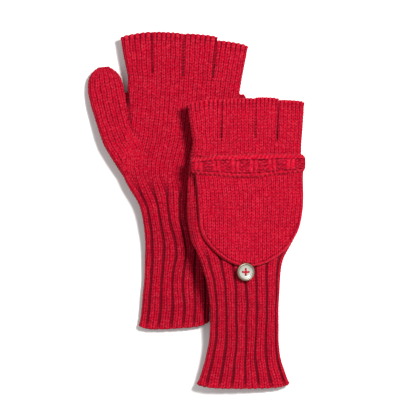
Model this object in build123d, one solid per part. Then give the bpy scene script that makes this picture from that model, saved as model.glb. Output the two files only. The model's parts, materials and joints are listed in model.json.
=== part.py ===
from build123d import *
from math import atan2, cos, degrees, hypot, radians, sin
import os

os.makedirs("parts", exist_ok=True)

# A pair of knitted flip-top mittens, lying one across the edge of the other.
# Millimetres. +X runs across the hands, +Y toward the finger ends and +Z is up.
#
# Each mitten is built in a frame of its own: x across the hand with the thumb on the
# negative side, y toward the fingers, and the hand's middle surface at z = 0. Heights
# are given toward the back of the hand; "up" is +1 for a mitten lying back up and -1
# for one lying palm up.

# Knitted fabric
WALL = 1.4
HOLLOW = 4.4
THICK = HOLLOW + 2 * WALL
CLEAR = 0.3
FINGER_GAP = 0.3

# Flap, as heights above the hand's middle surface
PANEL = 1.5
POUCH_GAP = 2.0
RIM = 1.5
BACK_LOW = THICK / 2 + CLEAR
BACK_HIGH = BACK_LOW + PANEL
FRONT_LOW = BACK_HIGH + POUCH_GAP
FRONT_HIGH = FRONT_LOW + PANEL
BAND_THICK = 3.0
BAND_HIGH = FRONT_LOW + BAND_THICK
BAND_DEEP = 17.0
BAND_ROUND = 1.2
RIM_LOW = BACK_HIGH + CLEAR

# The seam that the flap turns on
HINGE_Y = 45.8
SEAM_RADIUS = 1.05
SEAM_LENGTH = 88.0
HINGE_HEIGHT = THICK / 2 + SEAM_RADIUS
FLAP_TOP = HINGE_Y - SEAM_RADIUS - 0.35

# Flap outline, from the thumb side round the tip to the little finger side
FLAP_EDGE = [
    (-43.9, FLAP_TOP), (-43.2, 18.0), (-41.5, -12.0), (-35.8, -28.6), (-22.0, -39.8), (-8.0, -44.3),
    (3.0, -44.9), (14.0, -43.7), (30.0, -36.9), (43.6, -24.0), (49.6, -5.0), (50.4, 18.0), (49.8, FLAP_TOP),
]

# Button, sewn on at the top of the cuff
BUTTON_X = -2.3
BUTTON_Y = -52.7
BUTTON_RADIUS = 7.6
BUTTON_LOW = 6.5
BUTTON_THICK = 2.8
BUTTON_WEB = 1.7
DISH_RADIUS = 5.2
HOLE_RADIUS = 0.85
HOLE_RING = 2.2
THREAD_RADIUS = 0.45
SHANK_RADIUS = 1.5
SHANK_GAP = 0.1
KNOT_RADIUS = 2.0
KNOT_THICK = 1.0

# Loop at the tip of the flap
LOOP_YARN = 0.7
LOOP_HALF_WIDTH = 2.6
LOOP_GRIP = 1.5

FINGERS = ("index_finger", "middle_finger", "ring_finger", "little_finger")

# Left-hand mitten, palm up: it lies turned a little, on its own flap
LEFT = dict(
    name="left",
    up=-1,
    place=Location((-15.0, 52.1, 10.4), (0, 0, -4)),
    crotch=60.0,
    # y, thumb side edge, little finger side edge
    hand=[(-47, -30.5, 27.5), (-32, -36, 35), (-15, -41, 43), (5, -45, 47), (25, -47, 47.5),
          (46, -47.3, 48.3), (60, -48.5, 48.7)],
    # edges between the fingers at the crotch, then the two top corners of each finger
    splits=(-48.5, -26.5, -0.9, 24.6, 48.7),
    tops=[((-55.3, 91.7), (-29.6, 97.8)), ((-28.8, 97.4), (-3.4, 97.9)),
          ((-2.5, 98.0), (25.5, 97.7)), ((26.8, 94.0), (51.1, 91.8))],
    # x, y, height, width, heading, roll
    cuff=[(-1.5, -47, 0, 58, 0, 0), (0.0, -56.5, 0, 54, 2, 0), (1.8, -77.9, 2.4, 50, 4.5, 0),
          (3.7, -105.2, 6.2, 50, 4.2, 0), (5.9, -133.4, 6.75, 54.1, 4.5, 0),
          (6.7, -150.6, 6.75, 55.7, 7, 0)],
    thumb=[(-24.5, -42, 0, 15, 27, 0), (-33, -29.5, 0, 19.5, 27, 0), (-40.9, -17.1, 0, 24, 27, 0),
           (-50.2, 1.3, 0, 26.5, 24, 0), (-57.6, 18.3, 0.6, 27.3, 19, 0),
           (-62.5, 33.6, 2.6, 29.6, 16, 0), (-67.0, 50.0, 5.2, 28.6, 14, 0),
           (-68.9, 59.5, 6.2, 22.5, 12, 0), (-69.6, 65.2, 6.4, 12, 10, 0)],
    thumb_thick=THICK - 0.2,
    band=(-49.0, 54.9),
)

# Right-hand mitten, back up: its thumb side is raised by the mitten under it, and its
# thumb is folded flat under the palm
RIGHT = dict(
    name="right",
    up=1,
    place=Location((42.0, 0, 17.85), (0, 16, 0)),
    crotch=58.5,
    hand=[(-47, -37, 31.2), (-38, -40.6, 34.4), (-30, -44.5, 40.6), (-17, -48.9, 47.9),
          (-8, -50.2, 50), (8.6, -50.2, 50.8), (25, -49.5, 50.2), (40, -48, 49.6), (58.5, -46.6, 49.5)],
    splits=(-46.6, -22.5, 7.6, 27.2, 49.5),
    tops=[((-50.3, 90.8), (-21.8, 95.1)), ((-21.3, 94.3), (7.9, 95.5)),
          ((8.4, 95.5), (28.1, 95.1)), ((28.9, 93.8), (51.0, 92.6))],
    cuff=[(-2.9, -47, 0, 68.2, 0, 0), (-1.5, -62.6, 0, 62.8, 0, 0), (1.1, -85.7, -4.4, 58.4, 0, -3.5),
          (2.0, -112, -8.7, 59.3, 0, -7.5), (1.4, -128.6, -10.3, 63.6, 0, -9.5),
          (1.5, -138.8, -10.5, 71, 0, -10.3), (1.6, -151.7, -10.6, 76.3, 0, -11)],
    thumb=[(-37.5, -36, -1.6, 20, 0, 0), (-36.5, -22, -4.6, 23, 0, 0), (-35.8, -8, -6.1, 24.5, 0, 0),
           (-35.0, 12, -6.1, 25, -2, 0), (-34.0, 34, -6.1, 23.5, -2, 0), (-33.6, 44, -6.1, 15, -2, 0)],
    thumb_thick=4.4,
    band=(-49.0, 52.6),
)


def section(x, y, z, width, thick, heading=0, roll=0):
    """A flat oval across a tube; heading turns it about Z, roll lifts its negative x side."""
    turn = radians(heading)
    tip = radians(roll)
    along = Vector(-sin(turn), cos(turn), 0)
    across = Vector(cos(turn) * cos(tip), sin(turn) * cos(tip), -sin(tip))
    return Plane(origin=(x, y, z), x_dir=across, z_dir=along) * SlotOverall(width, thick)


def tube(stations, thick, up, closed=False, ruled=False):
    """Outer and inner solids of a flat knitted tube through (x, y, height, width, heading, roll)."""
    outer = loft([section(x, y, h * up, w, thick, a, r) for x, y, h, w, a, r in stations], ruled=ruled)
    inside = list(stations)
    if closed:
        x, y, h, w, a, r = inside[-1]
        back = 1.2 * WALL
        inside[-1] = (x + back * sin(radians(a)), y - back * cos(radians(a)), h, w, a, r)
    inner = loft([
        section(x, y, h * up, w - 2 * WALL, thick - 2 * WALL, a, r) for x, y, h, w, a, r in inside
    ], ruled=ruled)
    return outer, inner


def hand_stations(mitten):
    return [((a + b) / 2, y, 0, b - a, 0, 0) for y, a, b in mitten["hand"]]


def finger(mitten, index):
    """One open half finger, from the crotch line to its slanted top edge."""
    low, high = mitten["splits"][index], mitten["splits"][index + 1]
    (ax, ay), (bx, by) = mitten["tops"][index]
    base = ((low + high) / 2, mitten["crotch"], 0, high - low - FINGER_GAP, 0, 0)
    width = hypot(bx - ax, by - ay) - FINGER_GAP
    top = ((ax + bx) / 2, (ay + by) / 2, 0, width, degrees(atan2(by - ay, bx - ax)), 0)
    outer, inner = tube([base, top], THICK, mitten["up"])
    return outer - inner


def slab(face, low, high, up):
    """A face drawn at z = 0, as a plate between two heights."""
    base = min(low * up, high * up)
    return Pos(0, 0, base) * extrude(face, high - low, dir=(0, 0, 1))


def strip_above(y, low, high, up):
    """A wide block over everything from y toward the fingers, between two heights."""
    return Pos(0, y + 50, up * (low + high) / 2) * Box(200, 100, high - low)


def inward(points, amount):
    """The points of an open outline, each moved toward its inside."""
    moved = []
    for index, (x, y) in enumerate(points):
        ax, ay = points[max(index - 1, 0)]
        bx, by = points[min(index + 1, len(points) - 1)]
        length = hypot(bx - ax, by - ay)
        moved.append((x - amount * (by - ay) / length, y + amount * (bx - ax) / length))
    return moved


def flap_face(inset=0.0):
    """The flap's outline, or the same outline drawn inward, open at the mouth."""
    points = inward(FLAP_EDGE, inset)
    edge = Spline(points)
    return make_face(edge + Line(points[-1], points[0]))


def flap_parts(up, band):
    back = slab(flap_face(), BACK_LOW, BACK_HIGH, up)
    pocket = slab(flap_face(RIM), RIM_LOW, FRONT_LOW, up)
    pocket += strip_above(FLAP_TOP - RIM, RIM_LOW, FRONT_LOW, up) & slab(flap_face(), RIM_LOW, FRONT_LOW, up)
    under_band = strip_above(HINGE_Y - BAND_DEEP, FRONT_LOW, FRONT_HIGH, up)
    front = slab(flap_face(), RIM_LOW, FRONT_HIGH, up) - pocket - under_band
    centre = Pos((band[0] + band[1]) / 2, HINGE_Y - BAND_DEEP / 2, up * (FRONT_LOW + BAND_THICK / 2))
    strip = centre * Box(band[1] - band[0], BAND_DEEP, BAND_THICK)
    strip = fillet(strip.edges().filter_by(Axis.Z), BAND_ROUND)
    outer_face = strip.faces().sort_by(Axis.Z)[-1 if up > 0 else 0]
    strip = fillet(outer_face.edges(), BAND_ROUND)
    return back, front, strip


def seam(up):
    middle = (FLAP_EDGE[0][0] + FLAP_EDGE[-1][0]) / 2
    return Pos(middle, HINGE_Y, up * HINGE_HEIGHT) * Rot(0, 90, 0) * Cylinder(SEAM_RADIUS, SEAM_LENGTH)


def upright(low, high, up, radius):
    """A round stem between two heights, at the button's centre."""
    middle = up * (low + high) / 2
    return Pos(BUTTON_X, BUTTON_Y, middle) * Cylinder(radius, high - low)


def hole_places():
    return [(HOLE_RING, 0), (0, HOLE_RING), (-HOLE_RING, 0), (0, -HOLE_RING)]


def button(up):
    """A turned disc with a rounded rim, a shallow dish and four holes."""
    high = BUTTON_LOW + BUTTON_THICK
    web = BUTTON_LOW + BUTTON_WEB
    profile = Polyline(
        (0, BUTTON_LOW), (BUTTON_RADIUS - 1.2, BUTTON_LOW), (BUTTON_RADIUS, BUTTON_LOW + 1.0),
        (BUTTON_RADIUS, high - 0.6), (BUTTON_RADIUS - 0.8, high), (DISH_RADIUS + 0.7, high - 0.2),
        (DISH_RADIUS, web + 0.2), (DISH_RADIUS - 0.8, web), (0, web), (0, BUTTON_LOW),
    )
    disc = revolve(Plane.XZ * make_face(profile), Axis.Z)
    for x, y in hole_places():
        disc -= Pos(x, y, BUTTON_LOW + 2) * Cylinder(HOLE_RADIUS, 6)
    if up < 0:
        disc = mirror(disc, Plane.XY)
    return Pos(BUTTON_X, BUTTON_Y, 0) * disc


def button_thread(up):
    """Two crossed stitches in the dish, each going down through two holes."""
    web = BUTTON_LOW + BUTTON_WEB
    over = web + THREAD_RADIUS
    legs = [Pos(x, y, (over + BUTTON_LOW) / 2) * Cylinder(THREAD_RADIUS, over - BUTTON_LOW)
            for x, y in hole_places()]
    knees = [Pos(x, y, over) * Sphere(THREAD_RADIUS) for x, y in hole_places()]
    bars = [Pos(0, 0, over) * Rot(0, 90, 0) * Cylinder(THREAD_RADIUS, 2 * HOLE_RING),
            Pos(0, 0, over) * Rot(90, 0, 0) * Cylinder(THREAD_RADIUS, 2 * HOLE_RING)]
    stitches = bars[0]
    for piece in bars[1:] + legs + knees:
        stitches += piece
    if up < 0:
        stitches = mirror(stitches, Plane.XY)
    return Pos(BUTTON_X, BUTTON_Y, 0) * stitches


def button_loop(up):
    """A yarn loop from the tip of the flap round the thread shank."""
    height = up * (BACK_LOW + BACK_HIGH) / 2
    tip = min(y for x, y in FLAP_EDGE)
    half = LOOP_HALF_WIDTH
    left, right = BUTTON_X - half, BUTTON_X + half
    side = Line((left, tip + LOOP_GRIP, height), (left, BUTTON_Y, height))
    bend = ThreePointArc(side @ 1, (BUTTON_X, BUTTON_Y - half, height), (right, BUTTON_Y, height))
    other = Line(bend @ 1, (right, tip + LOOP_GRIP, height))
    start = Plane(origin=side @ 0, z_dir=side % 0)
    return sweep(start * Circle(LOOP_YARN), path=side + bend + other)


def build_mitten(mitten):
    """All the pieces of one mitten, by node name, placed where it lies."""
    up = mitten["up"]
    hand_outer, hand_inner = tube(hand_stations(mitten), THICK, up)
    cuff_outer, cuff_inner = tube(mitten["cuff"], THICK, up, ruled=True)
    thumb_outer, thumb_inner = tube(mitten["thumb"], mitten["thumb_thick"], up, closed=True, ruled=True)
    back, front, strip = flap_parts(up, mitten["band"])
    pieces = {
        "cuff": cuff_outer - cuff_inner,
        "hand": hand_outer - hand_inner - thumb_inner,
        "thumb": thumb_outer - thumb_inner - hand_outer,
        "flap_back": back,
        "flap_front": front,
        "flap_band": strip,
        "hinge_seam": seam(up),
        "button": button(up),
        "button_thread": button_thread(up),
        "thread_shank": upright(THICK / 2, BUTTON_LOW - SHANK_GAP, up, SHANK_RADIUS),
        "thread_knot": upright(HOLLOW / 2 - KNOT_THICK, HOLLOW / 2, up, KNOT_RADIUS),
        "button_loop": button_loop(up),
    }
    for index, name in enumerate(FINGERS):
        pieces[name] = finger(mitten, index)
    return {f"{mitten['name']}_{name}": mitten["place"] * shape for name, shape in pieces.items()}


def assemble():
    """Both mittens, moved so that the origin is at the centre of what they lie on."""
    nodes = {**build_mitten(LEFT), **build_mitten(RIGHT)}
    box = Compound(children=[Compound(children=shape.solids()) for shape in nodes.values()]).bounding_box()
    shift = Pos(-(box.min.X + box.max.X) / 2, -(box.min.Y + box.max.Y) / 2, -box.min.Z)
    return {name: shift * shape for name, shape in nodes.items()}, shift


nodes, shift = assemble()
for name, shape in nodes.items():
    export_step(shape, f"parts/{name}.step")
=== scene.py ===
import json
from math import cos, pi, radians, sin

import bpy
import numpy as np
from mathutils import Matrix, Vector

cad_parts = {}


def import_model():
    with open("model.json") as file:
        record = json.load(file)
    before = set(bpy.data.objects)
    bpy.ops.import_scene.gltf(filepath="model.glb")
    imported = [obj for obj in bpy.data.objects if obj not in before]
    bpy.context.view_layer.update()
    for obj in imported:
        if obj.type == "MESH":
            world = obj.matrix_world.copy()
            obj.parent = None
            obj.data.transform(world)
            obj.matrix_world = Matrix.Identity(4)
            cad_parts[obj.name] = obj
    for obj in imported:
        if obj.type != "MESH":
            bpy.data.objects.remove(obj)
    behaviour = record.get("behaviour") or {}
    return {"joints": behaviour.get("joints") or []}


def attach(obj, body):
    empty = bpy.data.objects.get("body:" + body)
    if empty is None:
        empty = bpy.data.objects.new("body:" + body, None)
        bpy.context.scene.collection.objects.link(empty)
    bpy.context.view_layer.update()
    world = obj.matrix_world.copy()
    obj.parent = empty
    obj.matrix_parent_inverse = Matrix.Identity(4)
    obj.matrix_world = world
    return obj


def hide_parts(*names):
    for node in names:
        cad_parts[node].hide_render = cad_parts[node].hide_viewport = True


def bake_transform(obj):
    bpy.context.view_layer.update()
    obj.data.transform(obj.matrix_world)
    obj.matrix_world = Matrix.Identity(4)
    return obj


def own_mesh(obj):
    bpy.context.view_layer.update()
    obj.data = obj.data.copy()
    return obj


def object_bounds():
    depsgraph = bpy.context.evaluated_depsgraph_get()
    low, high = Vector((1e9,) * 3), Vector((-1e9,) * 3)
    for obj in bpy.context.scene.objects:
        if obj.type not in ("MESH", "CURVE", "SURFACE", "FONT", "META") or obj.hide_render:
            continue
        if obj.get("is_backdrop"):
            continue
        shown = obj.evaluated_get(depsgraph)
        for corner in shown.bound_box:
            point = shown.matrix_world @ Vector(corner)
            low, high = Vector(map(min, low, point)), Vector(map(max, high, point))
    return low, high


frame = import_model()
CAD_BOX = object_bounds()

# A pair of knitted flip-top mittens. Each mitten is built in its own frame, in millimetres:
# x across the hand with the thumb on the negative side, y toward the fingers, z up from the
# middle of the hand. "up" is +1 for the mitten lying back up and -1 for the one lying palm up,
# so up * height is a height toward the back of the hand.
MM = 0.001

# Knit
COURSE = 2.6                # height of a row of stitches
PER_WALE = 8                # mesh columns to a stitch
PER_COURSE = 5              # mesh rows to a stitch
THICK = 7.2                 # a tube lying flat, outside to outside
WALL = 1.4
RELIEF = 0.8                # how far a stitch stands up
YARN_LEVEL = 0.8            # the yarn height, from 0 to 1, that lies on a tube's own surface
INSIDE_SHADE = 0.35         # the yarn height that the insides are coloured as
RIB_WALES = 4               # stitches to a rib: two knit, two purl
RIB_DEPTH = 2.3
RIB_SHARE = 0.86            # how much of a rib's width the two knit stitches take

# Flap, as heights toward the back
HINGE_X = 2.5
HINGE_Y = 45.8
HINGE_HEIGHT = 4.65
BACK_LOW = 3.95
SEAM_HEIGHT = 5.1           # where the two layers meet round the outline
LINING_HEIGHT = 7.8         # the inside of the outer layer
FACE_HEIGHT = 8.45
EDGE_ROLL = 3.0             # how far in from the outline the outer layer takes to rise

# Button, its thread and its loop
BUTTON_X = -2.3
BUTTON_Y = -52.7
BUTTON_RADIUS = 7.7
BUTTON_LOW = 6.5
BUTTON_HIGH = BUTTON_LOW + 2.8
WEB_HIGH = BUTTON_LOW + 1.7     # the floor of the dish
HOLE_RING = 2.5
HOLE_RADIUS = 0.95
LOOP_HALF_WIDTH = 2.6

# Band
BAND_STITCH = 4.1
ROPE_PITCH = 3.7
BAND_LOW = 7.35

FINGERS = ("index_finger", "middle_finger", "ring_finger", "little_finger")
LAST_FINGER = len(FINGERS) - 1

LEFT = dict(
    name="left",
    up=-1,
    wales=52,               # stitches round the hand
    crotch=60.0,
    wrist=-47.0,
    # x, y, z, width, heading, roll from the cuff's mouth to the crotch; what is left out is 0
    spine=[(6.1, -151.6, -6.75, 60.6, 7), (6.4, -133.4, -6.75, 58.8, 5), (5.5, -105.2, -6.4, 55.8, 4),
           (3.4, -77.9, -2.6, 54.4, 4), (0.4, -58, 0, 56.5, 2), (-2.0, -47, 0, 60), (-3.2, -43, 0, 65.2),
           (-4.0, -36.6, 0, 74.6), (-4.5, -26, 0, 84), (-4.6, -17, 0, 90), (-3.4, -8, 0, 94),
           (-0.8, 5, 0, 94.5), (0.2, 25, 0, 94.8), (0.5, 46, 0, 95.8), (0.3, 60, 0, 97.8)],
    splits=(-48.6, -26.5, -0.9, 24.6, 49.2),
    tops=[((-55.5, 92.8), (-29.6, 98.8)), ((-28.8, 98.5), (-3.4, 98.9)),
          ((-2.5, 99.0), (25.5, 98.5)), ((26.6, 95.3), (52.0, 92.8))],
    thumb=[(-28, -34, -1.6, 18, 24), (-36.0, -20, -0.5, 24.5, 27), (-43.0, -6, 0.4, 30, 27),
           (-50.8, 4.5, 0.2, 30, 25), (-57.2, 18.3, -0.6, 28.8, 19), (-62.4, 33.6, -2.6, 30.6, 16),
           (-66.4, 48, -5.0, 31.6, 14), (-68.4, 57.5, -6.0, 27.8, 12), (-69.2, 62.6, -6.4, 19.5, 11),
           (-69.4, 65.8, -6.5, 9.5, 10)],
    thumb_thick=7.0,
    rib_line=-33.0,
    band_ends=(-50.5, 54.2),
    gather=(0.52, 0.84),    # how narrow the index and little fingers would draw in under the folded flap
    # y and x of the fold beside the thumb
    crease=[(8, -40.2), (18, -43.3), (33, -45.6), (50, -48.9)],
    droop=0.0,
    band_lift=3.4,          # how far the band's little finger end is pulled toward the fingers
)

RIGHT = dict(
    name="right",
    up=1,
    wales=60,
    crotch=58.5,
    wrist=-47.0,
    spine=[(0.8, -150.8, -10.6, 79.6, 0, -11), (0.7, -138.8, -10.5, 72.8, 0, -10.3),
           (0.3, -128.6, -10.3, 66, 0, -9.5), (0.8, -112, -8.7, 60.8, 0, -7.5),
           (0.0, -85.7, -4.4, 60.2, 0, -3.5), (-1.9, -64, -0.4, 64.6), (-4.0, -47, 0, 70.8),
           (-4.2, -38, 0, 77.6), (-2.8, -30, 0, 86.8), (-0.9, -17, 0, 96.2), (-0.6, -8, 0, 99),
           (-0.5, 8.6, 0, 100.4), (-0.3, 25, 0, 100.0), (0.5, 40, 0, 98.2), (1.55, 58.5, 0, 97)],
    splits=(-46.9, -22.5, 7.6, 27.2, 50.0),
    tops=[((-50.8, 90.8), (-21.8, 95.1)), ((-21.3, 94.3), (7.9, 95.5)),
          ((8.4, 96.1), (28.1, 95.7)), ((28.9, 94.2), (51.3, 93.0))],
    thumb=[(-31, -36, -1.6, 18), (-32.5, -22, -4.6, 22), (-34, -8, -6.1, 24), (-34.5, 12, -6.1, 25, -2),
           (-34.0, 34, -6.1, 23.5, -2), (-33.7, 41, -6.1, 17, -2), (-33.6, 44.5, -6.1, 7, -2)],
    thumb_thick=4.2,
    rib_line=-36.0,
    band_ends=(-51.0, 50.8),
    gather=(0.68, 0.82),
    crease=[],
    droop=5.0,              # how far the thumb side edge of the hand sags
    band_lift=0.0,
)

# Flap outline, from the thumb side at the mouth, round the tip, to the little finger side
FLAP_EDGE = [
    (-50.6, 45.8), (-50.4, 38.5), (-46.3, 31.5), (-46.0, 26.0), (-44.4, 12.0), (-43.8, -3.0),
    (-42.2, -17.0), (-38.6, -25.6), (-30.5, -34.6), (-21.3, -42.0), (-11.0, -47.0), (0.0, -49.0),
    (11.5, -47.4), (18.9, -44.5), (29.3, -38.2), (36.7, -31.5), (44.2, -20.0), (47.8, -10.0),
    (49.8, 2.8), (50.0, 14.6), (49.4, 29.0), (50.6, 36.5), (50.8, 45.8),
]
FLAP_TURN = -10.0           # below this the outline closes toward the tip
FLAP_WALES = 26
EDGE_STEP = 0.25


def joint(name):
    return next(j for j in frame["joints"] if j["name"] == name)


def place(mitten):
    """The mitten's own frame, from its flap's hinge: origin and the x, y and z directions."""
    fold = joint(mitten["name"] + "_flap_fold")
    x_dir = -mitten["up"] * np.array(fold["axis"])
    z_dir = mitten["up"] * np.array(joint(mitten["name"] + "_flap_mouth_open")["axis"])
    y_dir = np.cross(z_dir, x_dir)
    local = np.array([HINGE_X, HINGE_Y, mitten["up"] * HINGE_HEIGHT]) * MM
    axes = np.array([x_dir, y_dir, z_dir])
    return np.array(fold["pos_m"]) - local @ axes, axes


def world(mitten, points):
    """Points in a mitten's own frame, in millimetres, as places in metres."""
    origin, axes = place(mitten)
    return origin + (np.asarray(points, float) * MM) @ axes


# ---------------- numbers along a curve

def distances(points):
    """How far along a line of points each of them is."""
    return np.concatenate([[0], np.cumsum(np.linalg.norm(np.diff(points, axis=0), axis=1))])


def soften(values, width):
    """A running average that keeps both ends where they are."""
    if width < 1:
        return values
    reach = int(3 * width)
    kernel = np.exp(-0.5 * (np.arange(-reach, reach + 1) / width) ** 2)
    kernel /= kernel.sum()
    low = 2 * values[0] - values[1:reach + 1][::-1]
    high = 2 * values[-1] - values[-reach - 1:-1][::-1]
    return np.convolve(np.concatenate([low, values, high]), kernel, "valid")


def follow(points, run, at, blur=0):
    """Points read off along a line at the distances in at, and smoothed over blur of them."""
    return np.stack([soften(np.interp(at, run, column), blur) for column in np.asarray(points).T], 1)


def stations(table, spacing, blur=9):
    """Rows of a table, made even along the line through its first three columns."""
    table = np.array([row + (0,) * (6 - len(row)) for row in table], float)
    run = distances(table[:, :3])
    fine = np.linspace(0, run[-1], int(run[-1] / 0.5) + 1)
    at = np.linspace(0, run[-1], int(round(run[-1] / spacing)) + 1)
    return follow(follow(table, run, fine, blur), fine, at), at


def wave(u, v, seed, scale):
    """Slow, uneven waves between -1 and 1."""
    draw = np.random.default_rng(seed)
    total = np.zeros(np.broadcast(u, v).shape)
    for _ in range(7):
        angle = draw.uniform(0, 2 * pi)
        length = scale * draw.uniform(0.6, 1.8)
        total += np.sin(2 * pi * (u * cos(angle) + v * sin(angle)) / length + draw.uniform(0, 2 * pi))
    return total / 7 * 1.6


def rounded(value):
    """A quarter circle: 0 at 0, rising steeply at first, and 1 from 1 on."""
    return np.sqrt(1 - (1 - np.clip(value, 0, 1)) ** 2)


def bell(value, width):
    """1 at 0, falling away on both sides."""
    return np.exp(-(value / width) ** 2)


def ripple(turns):
    """A wave from 0 to 1, highest at every whole turn."""
    return 0.5 + 0.5 * np.cos(2 * pi * turns)


def ramp(value, low, high):
    """0 up to low, 1 from high, and smooth between them."""
    t = np.clip((value - low) / (high - low), 0, 1)
    return t * t * (3 - 2 * t)


# ---------------- the height of the yarn

def knit(u, v):
    """Height of plain knitting, 0 to 1: each stitch is two slanted legs in a V."""
    across = np.abs(u - np.floor(u) - 0.5) * 2
    strand = np.cos((across - 0.46) * pi * 0.93)
    turn = np.cos(2 * pi * (v - 0.62 * across))
    body = np.clip(strand, 0, 1) ** 0.8
    return np.clip(body * (0.77 + 0.23 * turn) * stitch_size(u, v), 0, 1)


def purl(u, v):
    """Height of the back of plain knitting: rows of small arcs."""
    arc = ripple(v + 0.22 * np.cos(2 * pi * u))
    return np.clip(0.25 + 0.75 * arc ** 0.8, 0, 1)


def stitch_size(u, v):
    """Hand-knitted unevenness: every stitch is a little bigger or smaller than the next."""
    table = np.random.default_rng(8).uniform(0.86, 1.08, (97, 89))
    return table[np.floor(v).astype(int) % 97, np.floor(u).astype(int) % 89]


def wander(base, u, v, seed):
    """Stitch coordinates with lines and rows that wander slightly."""
    side = wave(base[..., 0], base[..., 1], seed + 50, 12)
    along = wave(base[..., 0], base[..., 1], seed + 60, 16)
    return u + 0.09 * side, v + 0.22 * along


def rib_shift(u, amount):
    """Knit pairs spread over most of a rib and the purl pairs close up between them."""
    phase = (u / RIB_WALES) % 1
    spread = np.interp(phase, [0, 0.5, 1], [0, RIB_SHARE, 1])
    return (np.floor(u / RIB_WALES) + phase + (spread - phase) * amount) * RIB_WALES


def rib_height(u, amount):
    """Depth of the ribbing at a stitch position, 0 on a rib and -1 in a valley."""
    phase = (u / RIB_WALES) % 1
    across = np.clip(np.abs(phase - 0.25) / 0.25, 0, 1)
    crown = 0.74 * (1 - np.sqrt(1 - 0.97 * across ** 1.9))
    valley = np.clip(1 - np.abs(phase - 0.75) / 0.25, 0, 1)
    floor_depth = 0.61 + 0.39 * np.sqrt(valley)
    return -amount * np.where(phase < 0.5, crown, floor_depth)


def yarn_bumps(height):
    """How far the yarn stands off a tube's own surface."""
    return RELIEF * (height - YARN_LEVEL)


def swell(mitten, base):
    """Slow bumps of a hand and its fingers, which run on from one to the other."""
    return wave(base[..., 0], base[..., 1], 3 + mitten["up"], 38)


def rib_tone(u, amount):
    """How much light reaches each part of a rib: most on its crown, least between the ribs."""
    phase = (u / RIB_WALES) % 1
    across = np.clip(np.abs(phase - 0.25) / 0.25, 0, 1)
    return 1 - amount * np.where(phase < 0.5, 0.28 * across ** 2, 0.60)


# ---------------- surfaces

def oval(width, thick, left, right, shares):
    """Points at these shares of the way round a flat tube's section, from the thumb side over the top.

    left and right are the corner radii at the two edges.
    """
    half, high = width / 2, thick / 2
    turn = np.linspace(0, pi / 2, 10)
    top = np.concatenate([
        [[-half, 0]],
        np.stack([-half + left - left * np.cos(turn), high - left + left * np.sin(turn)], 1),
        np.stack([half - right + right * np.sin(turn), high - right + right * np.cos(turn)], 1),
        [[half, 0]],
    ])
    ring = np.concatenate([top, top[::-1][1:] * [1, -1]])
    run = distances(ring)
    return follow(ring, run, shares * run[-1])


def lay_rows(rows, thick, shares, radii=None):
    """A tube's surface from its stations and the share of the way round for each column."""
    grid = np.zeros((len(rows), shares.shape[-1], 3))
    for index, (x, y, z, width, heading, roll) in enumerate(rows):
        left, right = radii[index] if radii is not None else (thick / 2, thick / 2)
        share = shares[index] if shares.ndim == 2 else shares
        flat = oval(width, thick, left, right, share)
        turn, tip = radians(heading), radians(roll)
        across = np.array([cos(turn) * cos(tip), sin(turn) * cos(tip), -sin(tip)])
        along = np.array([-sin(turn), cos(turn), 0])
        over = np.cross(across, along)
        grid[index] = np.array([x, y, z]) + flat[:, :1] * across + flat[:, 1:] * over
    return grid


def normals(grid):
    """Unit normals of a tube's grid of points, pointing outward for the tubes here."""
    down = np.gradient(grid, axis=0)
    over = np.roll(grid, -1, axis=1) - np.roll(grid, 1, axis=1)
    out = np.cross(over, down)
    return out / np.maximum(np.linalg.norm(out, axis=-1, keepdims=True), 1e-9)


def ring_faces(rows, cols):
    """Quads of a grid of points whose last column joins the first."""
    i = np.arange(rows - 1)[:, None]
    j = np.arange(cols)[None, :]
    k = (j + 1) % cols
    corners = (i * cols + j, i * cols + k, (i + 1) * cols + k, (i + 1) * cols + j)
    return np.stack(np.broadcast_arrays(*corners), -1).reshape(-1, 4)


def add_object(name, data):
    made = bpy.data.objects.new(name, data)
    bpy.context.scene.collection.objects.link(made)
    return made


def make_mesh(name, points, faces, uv, painted_shade_and_rim, polygons=()):
    """A mesh object from points in metres, quads, stitch coordinates and a value for each point: the yarn
    height with its painted shade, or on the button its rim share.
    """
    mesh = bpy.data.meshes.new(name)
    points = np.asarray(points, np.float32)
    faces = np.asarray(faces, np.int32)
    extra = [list(p) for p in polygons]
    loops = np.concatenate([faces.ravel()] + [np.array(p, np.int32) for p in extra])
    sizes = np.array([len(p) for p in extra], np.int32)
    totals = np.concatenate([np.full(len(faces), 4, np.int32), sizes])
    starts = np.concatenate([[0], np.cumsum(totals)[:-1]]).astype(np.int32)
    mesh.vertices.add(len(points))
    mesh.vertices.foreach_set("co", points.ravel())
    mesh.loops.add(len(loops))
    mesh.loops.foreach_set("vertex_index", loops)
    mesh.polygons.add(len(totals))
    mesh.polygons.foreach_set("loop_start", starts)
    mesh.polygons.foreach_set("loop_total", totals)
    mesh.update(calc_edges=True)
    mesh.validate()
    layer = mesh.uv_layers.new(name="knit")
    layer.data.foreach_set("uv", np.asarray(uv, np.float32)[loops].ravel())
    # Each point's yarn height with its painted shade, or on the button its rim share, kept for the materials
    attribute = mesh.attributes.new("painted_shade_and_rim", "FLOAT", "POINT")
    attribute.data.foreach_set("value", np.asarray(painted_shade_and_rim, np.float32).ravel())
    mesh.polygons.foreach_set("use_smooth", np.ones(len(mesh.polygons), bool))
    mesh.update()
    return add_object(name, mesh)


def signed_volume(points, faces):
    a, b, c, d = (points[faces[:, k]] for k in range(4))
    first = np.einsum("ij,ij->i", a, np.cross(b, c)).sum()
    return first + np.einsum("ij,ij->i", a, np.cross(c, d)).sum()


def outward(points, faces):
    """The same faces, turned over if they face inward."""
    return faces[:, ::-1] if signed_volume(points, faces) < 0 else faces


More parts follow.
